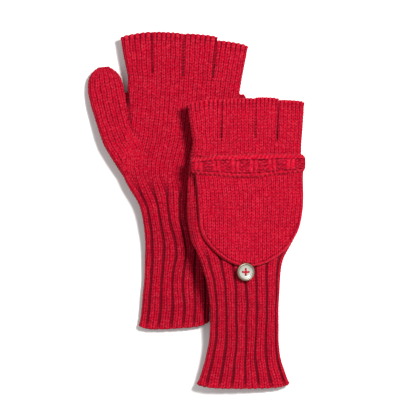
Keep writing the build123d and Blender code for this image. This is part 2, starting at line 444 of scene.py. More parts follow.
def rim(outer, base, u, v, painted_shade_and_rim, inner_end):
    """Rings that round off the edge at a tube's first row, from its outside to its inside."""
    step = base[0].mean(0) - base[3].mean(0)
    toward = step / np.linalg.norm(step)
    rings = np.array([outer[0] + (inner_end - outer[0]) * share + toward * 0.75 * sin(pi * share)
                      for share in (0.12, 0.3, 0.5, 0.7, 0.88)])
    return [rings] + [np.broadcast_to(row, rings.shape[:2]) for row in (u[0], v[0], painted_shade_and_rim[0] * 0.9)]


def shell(name, mitten, base, outer, u, v, painted_shade_and_rim, depth, skip=6, round_first=True, round_last=True):
    """A thick-walled open tube: the knitted outside, both rims and a plain inside."""
    inside = base - normals(base) * (WALL + 0.75 * np.abs(depth))[..., None]
    keep = sorted(set(range(0, len(base), skip)) | {len(base) - 1})
    inner = inside[keep][::-1]
    layers = [(outer, u, v, painted_shade_and_rim)]
    if round_last:
        layers.append(rim(*(item[::-1] for item in (outer, base, u, v, painted_shade_and_rim)), inner[0]))
    layers.append((inner, u[keep][::-1], v[keep][::-1], np.full(inner.shape[:2], INSIDE_SHADE)))
    if round_first:
        layers.append([item[::-1] for item in rim(outer, base, u, v, painted_shade_and_rim, inner[-1])])
    grid, across, lines, heights = (np.concatenate(parts) for parts in zip(*layers))
    total, cols = grid.shape[:2]
    last = (total - 1) * cols
    j = np.arange(cols)
    k = (j + 1) % cols
    faces = np.concatenate([ring_faces(total, cols), np.stack([last + j, last + k, k, j], 1)])
    points = world(mitten, grid.reshape(-1, 3))
    uv = np.stack([across.ravel(), lines.ravel()], 1)
    return make_mesh(f"{mitten['name']}_{name}", points, outward(points, faces), uv, heights.ravel())


def capped(name, mitten, outer, u, v, painted_shade_and_rim):
    """A tube closed at both ends."""
    rows, cols = outer.shape[:2]
    first, last = outer[0].mean(0), outer[-1].mean(0)
    points = world(mitten, np.concatenate([outer.reshape(-1, 3), [first, last]]))
    faces = ring_faces(rows, cols)
    faces = outward(points, faces)
    flipped = faces[0][0] != 0
    j = np.arange(cols)
    k = (j + 1) % cols
    low = np.stack([np.full(cols, rows * cols), k, j], 1)
    high = np.stack([np.full(cols, rows * cols + 1), (rows - 1) * cols + j, (rows - 1) * cols + k], 1)
    caps = np.concatenate([low, high])
    if flipped:
        caps = caps[:, ::-1]
    uv = np.stack([np.broadcast_to(u, (rows, cols)).ravel(), np.broadcast_to(v, (rows, cols)).ravel()], 1)
    uv = np.concatenate([uv, [uv[0], uv[-1]]])
    heights = np.concatenate([painted_shade_and_rim.ravel(), [0.5, 0.5]])
    return make_mesh(f"{mitten['name']}_{name}", points, faces, uv, heights, polygons=caps)


# ---------------- the knitted pieces

def rib_sway(mitten, u, run):
    """How far the ribs drift sideways along the tube, in stitches. The two edges stay put."""
    along = run[:, None]
    seed = 90 + mitten["up"]
    drift = 0.75 * wave(u * 1.3, along, seed, 44) + 0.22 * wave(u * 5, along, seed + 4, 26)
    return drift * np.sin(2 * pi * u / mitten["wales"]) ** 2


def edge_sag(mitten, base, y):
    """How far the thumb side edge of the hand drops."""
    along = ramp(y, -44, -24) * (1 - ramp(y, 44, 56))
    return mitten["droop"] * ramp(-base[..., 0], 41, 50) * along[:, None]


def thumb_fold(mitten, base, y):
    """The fold beside the thumb on the palm, from 0 to 1; it dents the surface and is darkened with painted
    shade.
    """
    if not mitten["crease"]:
        return np.zeros(base.shape[:2])
    line_y, line_x = np.array(mitten["crease"]).T
    beside = base[..., 0] - np.interp(y, line_y, line_x)[:, None]
    fold = bell(beside, 1.3) * (ramp(y, 4, 18) * (1 - ramp(y, 42, 50)))[:, None]
    return fold * (base[..., 2] * mitten["up"] < 0)


def body_tube(mitten):
    """The cuff and the hand, knitted as one tube and parted at the wrist.

    Gives the number of stitch rows from the cuff's mouth to the crotch.
    """
    rows, run = stations(mitten["spine"], COURSE / PER_COURSE)
    y = rows[:, 1]
    ribbed = 1 - ramp(y, mitten["rib_line"] - 9, mitten["rib_line"] + 10)
    amount = ribbed[:, None]
    steps = np.diff(run, prepend=0) / COURSE * (1 + 0.1 * ribbed)
    shape = (len(rows), mitten["wales"] * PER_WALE)
    u_grid = np.broadcast_to(np.arange(shape[1]) / PER_WALE, shape)
    v_grid = np.broadcast_to(np.cumsum(steps)[:, None], shape)
    shares = rib_shift(u_grid, amount) + rib_sway(mitten, u_grid, run) * amount
    base = lay_rows(rows, THICK, shares / mitten["wales"])
    out = normals(base)
    u_yarn, v_yarn = wander(base, u_grid, v_grid, mitten["up"])
    is_purl = ramp(np.abs((u_grid / RIB_WALES) % 1 - 0.75), 0.25, 0.2) * amount
    height = knit(u_yarn, v_yarn) * (1 - is_purl) + purl(u_yarn, v_yarn) * is_purl
    # The ribs close up into the cast-on edge, which is scalloped and bows at the corners
    open_ribs = amount * (1 - 0.72 * bell(run, 2.6)[:, None])
    depth = rib_height(u_grid, open_ribs)
    bumps = yarn_bumps(height) + RIB_DEPTH * depth + 0.28 * swell(mitten, base) - 0.15 + 0.25 * amount
    mouth = np.exp(-run / 2.0)[:, None]
    outer = base + out * (bumps + 0.45 * mouth * (1 + depth))[..., None]
    reach = np.abs(base[..., 0] - rows[:, :1]) / (rows[:, 3:4] / 2)
    bow = (3.4 * reach ** 6 - 1.1 * (1 - reach ** 2)) * np.exp(-run / 9.0)[:, None]
    scallop = 0.5 * mouth * (np.sin(pi * u_grid) ** 2 + depth)
    sag = edge_sag(mitten, base, y)
    move = np.stack([np.zeros(shape), bow - scallop, -mitten["up"] * sag], -1)
    base = base + move
    fold = thumb_fold(mitten, base, y)
    outer = outer + move - out * (1.5 * fold)[..., None]
    # Painted shade: darker on the ribs' flanks and in their valleys, and in the fold beside the thumb
    shade = np.clip(height * rib_tone(u_grid, open_ribs) * (1 - 0.6 * fold), 0, 1)
    cut = int(np.argmin(np.abs(y - mitten["wrist"])))
    for name, part in (("cuff", slice(0, cut + 1)), ("hand", slice(cut, len(rows)))):
        piece = shell(f"{name}_knit", mitten, base[part], outer[part], u_grid[part],
                      v_grid[part], shade[part], RIB_DEPTH * depth[part], skip=8,
                      round_first=name == "cuff", round_last=False)
        finish_piece(piece, mitten, name)
    return float(v_grid[-1, 0])


def hand_wale_width(mitten):
    """The width of a stitch along the crotch line."""
    return (2 * (mitten["spine"][-1][3] - THICK) + pi * THICK) / mitten["wales"]


def wale_at(mitten, x):
    """The stitch number at x on the top of the hand, along the crotch line."""
    centre, width = mitten["spine"][-1][0], mitten["spine"][-1][3]
    corner = THICK / 2
    along = pi / 2 * corner + x - (centre - width / 2 + corner)
    return along / hand_wale_width(mitten)


def finger_rows(mitten, index):
    """Stations of one finger from the crotch to its cast-off edge, and how far along each one is."""
    low, high = mitten["splits"][index], mitten["splits"][index + 1]
    (ax, ay), (bx, by) = mitten["tops"][index]
    root = np.array(((low + high) / 2, mitten["crotch"], 0, high - low + 0.2, 0, 0))
    width = float(np.hypot(bx - ax, by - ay)) + 2.5
    raised = 0.15 * mitten["up"] * (1 if index % 2 == 0 else -0.5)
    heading = np.degrees(np.arctan2(by - ay, bx - ax))
    top = np.array(((ax + bx) / 2, (ay + by) / 2 - 0.8, raised, width, heading, 0))
    length = top[1] - root[1]
    share = np.linspace(0, 1, int(length / COURSE * PER_COURSE) + 1)
    rows = root * (1 - share[:, None]) + top * share[:, None]
    return rows, share * length


def finger_wales(mitten, index):
    """Stitch numbers round one finger, over its face and back under it, and its first and last."""
    first = 0.0 if index == 0 else wale_at(mitten, mitten["splits"][index])
    last = mitten["wales"] / 2 if index == LAST_FINGER else wale_at(mitten, mitten["splits"][index + 1])
    wall = 0.0 if index == 0 else THICK / 2
    far_wall = 0.0 if index == LAST_FINGER else THICK / 2
    wale = hand_wale_width(mitten)
    half_way = wall + (last - first) * wale + far_wall
    side = int(round(half_way / 0.44))
    share = np.arange(side) / side
    over = np.clip(first + (half_way * share - wall) / wale, first, last)
    under = mitten["wales"] - np.clip(first + (half_way * (1 - share) - wall) / wale, first, last)
    return np.concatenate([over, under]), first, last


def finger_tube(mitten, index, v_start):
    """One open half finger with a scalloped cast-off edge, its stitches running on from the hand's."""
    rows, run = finger_rows(mitten, index)
    u, first, last = finger_wales(mitten, index)
    along = run[:, None]
    from_top = run[-1] - along
    shape = (len(rows), len(u))
    u_grid = np.broadcast_to(u, shape)
    v_grid = np.broadcast_to(v_start + along / COURSE, shape)
    # The index and the little finger each have one free side, and the others press together
    free = (index == 0, index == LAST_FINGER)
    pressed = 0.25 + 1.5 * ramp(along, 0, 5)
    radii = np.concatenate([np.full(along.shape, THICK / 2) if side else pressed for side in free], 1)
    base = lay_rows(rows, THICK, np.arange(len(u)) / len(u), radii)
    out = normals(base)
    u_yarn, v_yarn = wander(base, u_grid, v_grid, mitten["up"])
    height = knit(u_yarn, v_yarn)
    near_top = ramp(from_top, 10, 2)
    edge = np.exp(-from_top / 1.5)
    lobe = np.abs(np.sin(pi * u_grid)) ** 0.8
    groove = 0.95 * (1 - lobe) * near_top
    bumps = yarn_bumps(height) - groove + 0.15 * swell(mitten, base) + 0.5 * edge * lobe - 0.15
    outer = base + out * bumps[..., None]
    outer[..., 1] += edge * (1.4 * lobe - 0.3)
    share = (np.where(u_grid <= last, u_grid, mitten["wales"] - u_grid) - first) / (last - first)
    low_turn, high_turn = (2.6 if side else 0.9 for side in free)
    corner = (low_turn * (1 - share) ** 9 + high_turn * share ** 9) * np.exp(-from_top / 3.5)
    outer[..., 1] -= corner
    base[..., 1] -= corner
    far = 9
    beside = np.where(u_grid <= last, np.minimum(u_grid - first, last - u_grid), far)
    if any(free):
        first_half = u_grid - first < (last - first) / 2
        beside = np.where(first_half == free[0], far, beside)
    # A painted shade line down each slit between two fingers
    painted_slit_shade = bell(beside, 0.16) * ramp(along, 0, 4)
    # Painted shade in the grooves between the scallops near the top and along the slits, and a painted
    # highlight on the rolled lobes of the cast-off edge
    shade = height * (1 - 0.6 * near_top * (1 - lobe)) * (1 - 0.5 * painted_slit_shade)
    shade = np.clip(shade * (1 - edge) + 0.95 * lobe * edge, 0, 1)
    name = FINGERS[index]
    piece = shell(f"{name}_knit", mitten, base, outer, u_grid, v_grid, shade,
                  np.zeros(shape), round_first=False)
    finish_piece(piece, mitten, name)
    if any(free):
        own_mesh(piece)


def thumb_tube(mitten):
    """The closed thumb, which flattens toward its tip."""
    rows, run = stations(mitten["thumb"], COURSE / PER_COURSE, 5)
    wales = 16
    shape = (len(rows), wales * PER_WALE)
    u = np.arange(shape[1]) / PER_WALE
    base = lay_rows(rows, mitten["thumb_thick"], u / wales)
    tip = ramp(run, run[-1] - 9, run[-1])[:, None, None]
    middle = rows[:, None, 2:3]
    base[..., 2:] = middle + (base[..., 2:] - middle) * (1 - 0.55 * tip ** 2)
    u_grid = np.broadcast_to(u, shape)
    v_grid = np.broadcast_to((run / COURSE)[:, None], shape)
    u_yarn, v_yarn = wander(base, u_grid, v_grid, 7)
    height = knit(u_yarn, v_yarn)
    slow = wave(base[..., 0], base[..., 1], 23, 26)
    outer = base + normals(base) * (yarn_bumps(height) + 0.25 * slow - 0.1)[..., None]
    piece = capped("thumb_knit", mitten, outer, u_grid, v_grid, height)
    return finish_piece(piece, mitten, "thumb")


def flap_edge():
    """The flap's outline as a dense smooth line."""
    points = np.array(FLAP_EDGE)
    run = distances(points)
    fine = np.arange(0, run[-1], EDGE_STEP)
    return follow(points, run, fine, 14)


def edge_distance(grid, line):
    """The distance from each place to the outline, and how far along the outline its nearest part is."""
    every, batch = 2, 4000
    flat = grid.reshape(-1, 2)
    near, along = np.zeros(len(flat)), np.zeros(len(flat))
    for start in range(0, len(flat), batch):
        part = slice(start, start + batch)
        gap = ((flat[part, None, :] - line[None, ::every, :]) ** 2).sum(-1)
        near[part] = np.sqrt(gap.min(1))
        along[part] = gap.argmin(1) * every * EDGE_STEP
    return near.reshape(grid.shape[:2]), along.reshape(grid.shape[:2])


def flap_plan():
    """Places on the flap: straight wales that end on the curved outline.

    Also gives the distance to the outline, how far along the outline the nearest place is, and
    the stitch number of each column.
    """
    line = flap_edge()
    tip = int(np.argmin(line[:, 1]))
    left, right = line[:tip + 1][::-1], line[tip:]
    share = np.linspace(0, 1, FLAP_WALES * PER_WALE + 1)

    def across(y):
        low, high = (float(np.interp(y, side[:, 1], side[:, 0])) for side in (left, right))
        return low + (high - low) * share

    upper = np.arange(HINGE_Y - 1.0, FLAP_TURN, -COURSE / PER_COURSE)
    rows = [np.stack([across(y), np.full(len(share), y)], 1) for y in upper]
    below = line[line[:, 1] <= FLAP_TURN + 0.3]
    x_low = across(FLAP_TURN)
    y_edge = np.interp(x_low, below[:, 0], below[:, 1])
    y_edge[0] = y_edge[-1] = FLAP_TURN
    steps = int((FLAP_TURN - y_edge.min()) / COURSE * PER_COURSE)
    for step in range(steps + 1):
        t = 1 - (1 - step / steps) ** 1.15
        rows.append(np.stack([x_low, FLAP_TURN + (y_edge - FLAP_TURN) * t], 1))
    grid = np.array(rows)
    near, along = edge_distance(grid, line)
    near[-1] = 0
    near[:, 0] = 0
    near[:, -1] = 0
    return grid, near, along, share * FLAP_WALES


def flap_face(x, y, near, along, height):
    """Height of the flap's visible face.

    It has a rolled edge with a groove inside it, plain knitting, a dent under the band's foot and
    a dip toward the button.
    """
    face = SEAM_HEIGHT + (FACE_HEIGHT - SEAM_HEIGHT) * rounded(near / EDGE_ROLL)
    face = face + (yarn_bumps(height) + 0.35 * wave(x, y, 31, 34)) * ramp(near, 1.5, 4)
    edge_shows = ramp(HINGE_Y - y, 10, 16) * (0.15 + 0.85 * ramp(-y, -4, 16))
    twist = 0.78 + 0.22 * np.cos(2 * pi * (along / 3.0 + 0.35 * near))
    face = face + (0.7 * bell(near - 1.35, 0.8) * twist - 0.28 * bell(near - 2.9, 0.55)) * edge_shows
    face = face - 1.1 * bell(y - band_foot(x) + 0.2, 1.2)
    face = face - 0.9 * bell(x - BUTTON_X, 15) * bell(y - BUTTON_Y, 13)
    from_button = np.hypot(x - BUTTON_X, y - BUTTON_Y) - BUTTON_RADIUS
    return np.minimum(face, BUTTON_LOW - 0.3 + 0.75 * np.maximum(from_button + 0.5, 0))


def round_both(front, back):
    """The front layer's columns followed by the back layer's, running on round the outline."""
    return np.concatenate([front[:, :-1], back[:, ::-1][:, :-1]], 1)


def sewn(faces, total, ring, cols):
    """The faces with the two layers joined along the outline, on the first ring and the last."""
    column = np.arange(ring)
    mirror = np.where(column <= cols - 1, column, (ring - column) % ring)
    merge = np.arange(total)
    merge[:ring] = mirror
    merge[total - ring:] = total - ring + mirror
    faces = merge[faces]
    return faces[(faces[:, 0] != faces[:, 1]) & (faces[:, 2] != faces[:, 3])]


def flap_pouch(mitten):
    """The two layers of the flap, joined round the outline and open at the mouth."""
    up, side = mitten["up"], mitten["name"]
    grid, near, along, u = flap_plan()
    rows, cols = near.shape
    x, y = grid[..., 0], grid[..., 1]
    u_grid = np.broadcast_to(u, (rows, cols))
    v_grid = (HINGE_Y - y) / COURSE
    u_yarn, v_yarn = wander(grid, u_grid, v_grid, 12)
    height = knit(u_yarn, -v_yarn)
    front = flap_face(x, y, near, along, height)
    back = SEAM_HEIGHT - (SEAM_HEIGHT - BACK_LOW) * rounded(near / 4.0)
    back = back + (1 - height) * 0.3 * ramp(near, 0, 2.5)

    # The inside is the outside drawn in, with a smooth lining
    shrink = 1 - 1.5 / 46
    in_x = (x - x.mean()) * shrink + x.mean()
    in_y = (y - HINGE_Y) * shrink + HINGE_Y
    lining = SEAM_HEIGHT + (LINING_HEIGHT - SEAM_HEIGHT) * rounded(near / EDGE_ROLL)
    in_front = np.maximum(np.minimum(lining, front - 0.45), SEAM_HEIGHT + 0.25)
    in_back = np.minimum(back + 0.8, SEAM_HEIGHT - 0.05)
    for edge in (np.s_[-1], np.s_[:, 0], np.s_[:, -1]):
        in_front[edge] = in_back[edge]

    # Painted highlight on the rolled cord round the tip and a painted shade line in the groove inside it
    toward_tip = 0.1 + 0.9 * ramp(-y, -4, 16)
    painted_cord_highlight = bell(near - 1.2, 0.9) * toward_tip
    shade = np.clip(height * (1 - painted_cord_highlight) + 0.85 * painted_cord_highlight - 0.3 * bell(near - 3.0, 0.6) * toward_tip, 0, 1)

    keep = sorted(set(range(0, rows, 6)) | {rows - 1})
    outside = np.stack([round_both(x, x), round_both(y, y), round_both(front, back)], -1)[::-1]
    inside = np.stack([round_both(in_x, in_x), round_both(in_y, in_y), round_both(in_front, in_back)], -1)
    ring = outside.shape[1]
    points = np.concatenate([outside.reshape(-1, 3), inside[keep].reshape(-1, 3)])
    points[:, 2] *= up
    stitches = np.stack([round_both(u_grid, u_grid + 40), round_both(v_grid, v_grid)], -1)
    uv = np.concatenate([stitches[::-1].reshape(-1, 2), stitches[keep].reshape(-1, 2)])
    outer_shade = round_both(shade, shade)[::-1].ravel()
    heights = np.concatenate([outer_shade, np.full(len(keep) * ring, INSIDE_SHADE)])
    faces = sewn(ring_faces(rows + len(keep), ring), len(points), ring, cols)

    # Only the points that a face still uses
    used = np.unique(faces)
    index = np.zeros(len(points), int)
    index[used] = np.arange(len(used))
    faces = index[faces]
    points = world(mitten, points[used])
    piece = make_mesh(f"{side}_flap_knit", points, outward(points, faces), uv[used], heights[used])
    paint(piece, "wool")
    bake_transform(piece)
    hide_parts(f"{side}_flap_back", f"{side}_flap_front")
    return piece


def band_foot(x):
    """Where the band's lower edge lies at x."""
    return np.interp(x, [-49, -39, -24, -2, 13, 28, 43, 51], [31.6, 30.2, 28.6, 27.9, 28.5, 30.7, 32.1, 33.2])


def band_edges(mitten, x):
    """Top and bottom of the band at x."""
    top = np.interp(x, [-49, -40, -32, -2, 28, 51], [43.3, 45.2, 46.4, 47.8, 48.3, 47.4])
    lift = mitten["band_lift"] * ramp(x, 10, 47)
    return top + lift, band_foot(x) + 0.6 * lift


def band_yarn(xs, ts, u, u_yarn):
    """Height of the band's yarn: a rope along the top, a 2 by 2 rib, and a chain along the foot.

    ts runs from 0 at the top to 1 at the foot. Also gives where the rib is.
    """
    is_rope = 1 - ramp(ts, 0.20, 0.28)
    is_chain = ramp(ts, 0.80, 0.88)
    is_rib = (1 - is_rope) * (1 - is_chain)
    rope = ripple(xs / ROPE_PITCH + 1.1 * ts * 19 / 5.2)
    chain = ripple(xs / BAND_STITCH - 0.5 * ts * 4)
    is_knit = ramp(np.abs(((u_yarn / RIB_WALES) % 1) - 0.25), 0.28, 0.22)
    legs = 0.5 - 0.34 * np.cos(2 * pi * u_yarn) + 0.16 * np.cos(4 * pi * (u_yarn + 0.1 * ts * 6))
    arcs = ripple(ts * 6.4 + 0.2 * np.cos(2 * pi * u_yarn) + 0.3 * wave(xs, ts * 15, 66, 8))
    rib = 0.34 + is_knit * 0.56 * legs + (1 - is_knit) * 0.30 * arcs
    height = is_rope * (0.45 + 0.55 * rope) + is_rib * rib + is_chain * (0.6 + 0.4 * chain)
    groove = bell(ts - 0.25, 0.03) + 0.9 * bell(ts - 0.83, 0.03)
    uneven = 1 - 1.8 * (1 - stitch_size(u * 1.6, ts * 9))
    return np.clip(height * uneven - 0.35 * groove, 0, 1), is_rib


def flap_band(mitten):
    """The thick ribbed band round the mouth of the flap."""
    low_end, high_end = mitten["band_ends"]
    x = np.linspace(low_end, high_end, int((high_end - low_end) / 0.4))
    top, bottom = (soften(edge, 14)[:, None] for edge in band_edges(mitten, x))
    # Down the front, then up the back
    front, back = 56, 14
    t = np.concatenate([np.linspace(0, 1, front), np.linspace(1, 0, back + 2)[1:-1]])
    shape = (len(x), len(t))
    xs = np.broadcast_to(x[:, None], shape)
    ts = np.broadcast_to(t, shape)
    in_front = np.broadcast_to(np.arange(len(t)) < front, shape)
    end_round = rounded(np.minimum(xs - low_end, high_end - xs) / 4.0)
    half = (top - bottom) / 2 * (0.62 + 0.38 * end_round)
    wobble = wave(xs, ts * 0, 61, 17)
    u = xs / BAND_STITCH + 0.1 * wobble
    lean = 0.9 * (ts - 0.5) * wave(xs, ts * 0, 71, 30)
    u_yarn = u + 0.09 * wave(xs, ts * 20, 63, 9) + lean
    cast_off = 0.45 * np.cos(2 * pi * xs / BAND_STITCH) * ramp(ts, 0.84, 1)
    crest = 0.35 * np.cos(2 * pi * xs / ROPE_PITCH) * (1 - ramp(ts, 0, 0.14))
    y = (top + bottom) / 2 + half * (1 - 2 * ts) + (crest - cast_off + 0.35 * wobble) * in_front
    height, is_rib = band_yarn(xs, ts, u, u_yarn)
    crown = np.sqrt(np.clip(1 - np.abs(2 * ts - 1) ** 3.0, 0, 1))
    rib_swell = 0.35 * np.cos(2 * pi * (u / RIB_WALES - 0.25)) * is_rib
    rise = (3.3 + 0.5 * wave(xs, y, 47, 24) + rib_swell) * (0.35 + 0.65 * end_round)
    high = BAND_LOW + 0.1 + (rise + 1.45 * (height - 0.6)) * crown
    grid = np.stack([xs, y, np.where(in_front, high, BAND_LOW) * mitten["up"]], -1)
    shade = np.where(in_front, height, 0.4)
    piece = capped("flap_band_knit", mitten, grid, u, ts * 8, shade)
    return finish_piece(piece, mitten, "flap_band", body="flap_mouth")


# ---------------- yarn, thread and button

def twisted(path, radius, plies, pitch, detail=10, sway=0.45):
    """Rings round a path for a yarn of several plies, in the path's own units."""
    path = np.asarray(path, float)
    run = distances(path)
    at = np.linspace(0, run[-1], max(int(run[-1] / (pitch / 12)), 8))
    line = follow(path, run, at)
    along = np.gradient(line, axis=0)
    along /= np.linalg.norm(along, axis=1, keepdims=True)
    side = np.cross(along, [0.0, 0.0, 1.0])
    side /= np.maximum(np.linalg.norm(side, axis=1, keepdims=True), 1e-6)
    over = np.cross(side, along)
    around = np.linspace(0, 2 * pi, detail * plies, endpoint=False)
    phase = around[None, :] - 2 * pi * at[:, None] / pitch
    lobes = np.abs(np.cos(phase * plies / 2))
    reach = radius * (1 - sway + sway * lobes)
    rings = line[:, None] + reach[..., None] * (
        np.cos(around)[None, :, None] * side[:, None] + np.sin(around)[None, :, None] * over[:, None])
    return rings, at, lobes


def strand(name, mitten, path, radius, plies, pitch, detail=10, sway=0.45, u_repeat=1, v_length=1.0):
    """A closed length of yarn or thread along a path in the mitten's own frame."""
    rings, at, lobes = twisted(path, radius, plies, pitch, detail, sway)
    cols = rings.shape[1]
    # The plies' heights go on as painted shade, darkest between the plies
    return capped(name, mitten, rings, np.arange(cols) / cols * u_repeat, at[:, None] / v_length, lobes)


def yarn_piece(name, mitten, path, radius, node, body, plies=3, pitch=3.0, material="wool"):
    """One piece that is a single length of yarn."""
    piece = strand(name, mitten, path, radius, plies, pitch, u_repeat=2, v_length=pitch)
    return finish_piece(piece, mitten, node, body=body, material=material)


def button_loop(mitten):
    """The loop of yarn at the tip of the flap, which goes round the shank."""
    up = mitten["up"]
    z = up * HINGE_HEIGHT
    half = LOOP_HALF_WIDTH
    foot_y, bend_y = -45.6, -49
    turn = np.linspace(0, pi, 24)
    arc = np.stack([BUTTON_X - half * np.cos(turn), BUTTON_Y - half * np.sin(turn), np.full(24, z)], 1)
    left = [[BUTTON_X - half + 0.6, foot_y, z + 0.2 * up], [BUTTON_X - half, bend_y, z]]
    right = [[BUTTON_X + half, bend_y, z], [BUTTON_X + half - 0.6, foot_y, z + 0.2 * up]]
    path = np.concatenate([left, arc, right])
    return yarn_piece("button_loop_yarn", mitten, path, 0.72, "button_loop", "flap", pitch=2.6)


def hinge_seam(mitten):
    """The sewn line that the flap turns on."""
    x = np.linspace(-41, 47, 200)
    height = np.full(200, mitten["up"] * HINGE_HEIGHT)
    path = np.stack([x, np.full(200, HINGE_Y), height], 1)
    return yarn_piece("hinge_seam_yarn", mitten, path, 1.05, "hinge_seam", "hand", plies=2, pitch=3.8)


def thread_shank(mitten):
    """The stem of wound thread under the button."""
    up, side = mitten["up"], mitten["name"]
    turns, reach = 5, 1.12
    t = np.linspace(0, turns, turns * 24)
    coil = np.stack([BUTTON_X + reach * np.cos(2 * pi * t), BUTTON_Y + reach * np.sin(2 * pi * t),
                     up * (3.65 + t / turns * 2.5)], 1)
    core = np.linspace((BUTTON_X, BUTTON_Y, 3.3), (BUTTON_X + 0.01, BUTTON_Y, 6.38), 6) * (1, 1, up)
    made = [strand("shank_wound", mitten, coil, 0.36, 2, 1.6, detail=6),
            strand("shank_stem", mitten, core, 0.95, 2, 3.0, detail=8, sway=0.15)]
    piece = join(made, f"{side}_thread_shank_wound")
    return finish_piece(piece, mitten, "thread_shank", body="hand", material="thread")


def thread_knot(mitten):
    """The knot on the inside: a few crossing turns of thread."""
    up = mitten["up"]
    t = np.linspace(0, 2 * pi, 150)
    x = BUTTON_X + 1.15 * (np.sin(t) + 0.5 * np.sin(2 * t))
    y = BUTTON_Y + 1.15 * (np.cos(t) - 0.5 * np.cos(2 * t))
    z = up * (1.7 + 0.22 * np.sin(3 * t))
    path = np.stack([x, y, z], 1)[:-3]
    return yarn_piece("thread_knot_tied", mitten, path, 0.34, "thread_knot", "hand",
                      plies=2, pitch=1.4, material="thread")


def button_threads(mitten):
    """Two crossed pairs of stitches in the button's dish."""
    side = mitten["name"]
    s = np.linspace(-1, 1, 40)
    ends = np.array([[-HOLE_RING - 0.12, BUTTON_LOW + 0.1], [-HOLE_RING - 0.05, WEB_HIGH]])
    made = []
    for turn, cross_over in ((0, 0.0), (pi / 2, 0.28)):
        for offset in (-0.3, 0.3):
            lift = WEB_HIGH + 0.5 + (0.18 + cross_over) * (1 - s ** 2)
            reach = np.concatenate([ends[:, 0], HOLE_RING * s, -ends[::-1, 0]])
            height = np.concatenate([ends[:, 1], lift, ends[::-1, 1]])
            beside = offset * (0.9 + 0.3 * np.cos(pi * reach / HOLE_RING / 2))
            x = BUTTON_X + reach * cos(turn) - beside * sin(turn)
            y = BUTTON_Y + reach * sin(turn) + beside * cos(turn)
            path = np.stack([x, y, mitten["up"] * height], 1)
            made.append(strand("stitch", mitten, path, 0.42, 2, 1.5, detail=6))
    piece = join(made, f"{side}_button_thread_cross")
    return finish_piece(piece, mitten, "button_thread", body="button", material="thread")


def join(objects, name):
    """Several meshes as one object."""
    bpy.ops.object.select_all(action="DESELECT")
    for item in objects:
        item.select_set(True)
    bpy.context.view_layer.objects.active = objects[0]
    bpy.ops.object.join()
    objects[0].name = name
    objects[0].data.name = name
    return objects[0]


def drill(piece, mitten, x, y):
    """Cuts one sewing hole through the button."""
    centre = world(mitten, [(BUTTON_X + x, BUTTON_Y + y, mitten["up"] * (BUTTON_LOW + 1))])[0]
    bpy.ops.mesh.primitive_cylinder_add(vertices=40, radius=HOLE_RADIUS * MM, depth=8 * MM, location=centre)
    bit = bpy.context.object
    bit.rotation_euler = Vector(place(mitten)[1][2]).to_track_quat("Z", "Y").to_euler()
    cut = piece.modifiers.new("hole", "BOOLEAN")
    cut.operation = "DIFFERENCE"
    cut.solver = "EXACT"
    cut.object = bit
    bpy.context.view_layer.objects.active = piece
    bpy.ops.object.modifier_apply(modifier=cut.name)
    bpy.data.objects.remove(bit)


def button(mitten):
    """A turned button: a rounded rim, a dished middle and four holes."""
    low, high, web = BUTTON_LOW, BUTTON_HIGH, WEB_HIGH
    # Radius and height, from the middle of the underside, over the rim, to the middle of the dish
    profile = np.array([
        (0.0, low), (4.6, low), (6.3, low + 0.12), (7.2, low + 0.55), (BUTTON_RADIUS, low + 1.25),
        (BUTTON_RADIUS, high - 1.0), (7.5, high - 0.35), (7.1, high - 0.08), (6.7, high), (6.3, high - 0.1),
        (5.95, high - 0.42), (5.75, high - 0.5), (5.45, high - 0.4), (5.15, web + 0.4), (4.4, web + 0.12),
        (3.3, web + 0.02), (0.0, web),
    ])
    run = distances(profile)
    at = np.linspace(0, run[-1], 120)
    r, h = follow(profile, run, at, 1.2)[1:-1].T[:, :, None]
    r = np.maximum(r, 0.0)
    around = np.linspace(0, 2 * pi, 160, endpoint=False)
    shape = (len(r), len(around))
    grid = np.stack([BUTTON_X + r * np.cos(around), BUTTON_Y + r * np.sin(around),
                     np.broadcast_to(mitten["up"] * h, shape)], -1)
    rim = np.broadcast_to(ramp(r, 5.65, 6.0), shape)
    piece = capped("button_disc", mitten, grid, around / (2 * pi), r / BUTTON_RADIUS, rim)
    for x, y in ((HOLE_RING, 0), (0, HOLE_RING), (-HOLE_RING, 0), (0, -HOLE_RING)):
        drill(piece, mitten, x, y)
    return finish_piece(piece, mitten, "button", body="button", material="button")


# ---------------- materials

def add_node(tree, kind, **settings):
    node = tree.nodes.new(kind)
    for key, value in settings.items():
        setattr(node, key, value)
    return node


def fill(tree, node, inputs):
    """Sets or links a node's inputs, each by its name or number. Colours are red, green and blue."""
    for key, item in inputs.items():
        if isinstance(item, bpy.types.NodeSocket):
            tree.links.new(item, node.inputs[key])
        else:
            node.inputs[key].default_value = (*item, 1) if isinstance(item, tuple) else item
    return node


def calculate(tree, operation, a, b, clamp=False):
    node = add_node(tree, "ShaderNodeMath", operation=operation, use_clamp=clamp)
    return fill(tree, node, {0: a, 1: b}).outputs[0]


def scaled(tree, value, factor, offset):
    """value * factor + offset"""
    return calculate(tree, "ADD", calculate(tree, "MULTIPLY", value, factor), offset)


def stretched(tree, value, start, factor):
    """(value - start) * factor, kept between 0 and 1"""
    return calculate(tree, "MULTIPLY", calculate(tree, "SUBTRACT", value, start), factor, clamp=True)


def mix_colour(tree, factor, a, b):
    node = add_node(tree, "ShaderNodeMix", data_type="RGBA")
    return fill(tree, node, {0: factor, 6: a, 7: b}).outputs[2]


def noise(tree, vector, scale, detail, roughness=0.6):
    inputs = {"Vector": vector, "Scale": scale, "Detail": detail, "Roughness": roughness}
    return fill(tree, add_node(tree, "ShaderNodeTexNoise"), inputs).outputs["Fac"]


def bump(tree, height, strength, distance):
    inputs = {"Height": height, "Strength": strength, "Distance": distance}
    return fill(tree, add_node(tree, "ShaderNodeBump"), inputs).outputs[0]


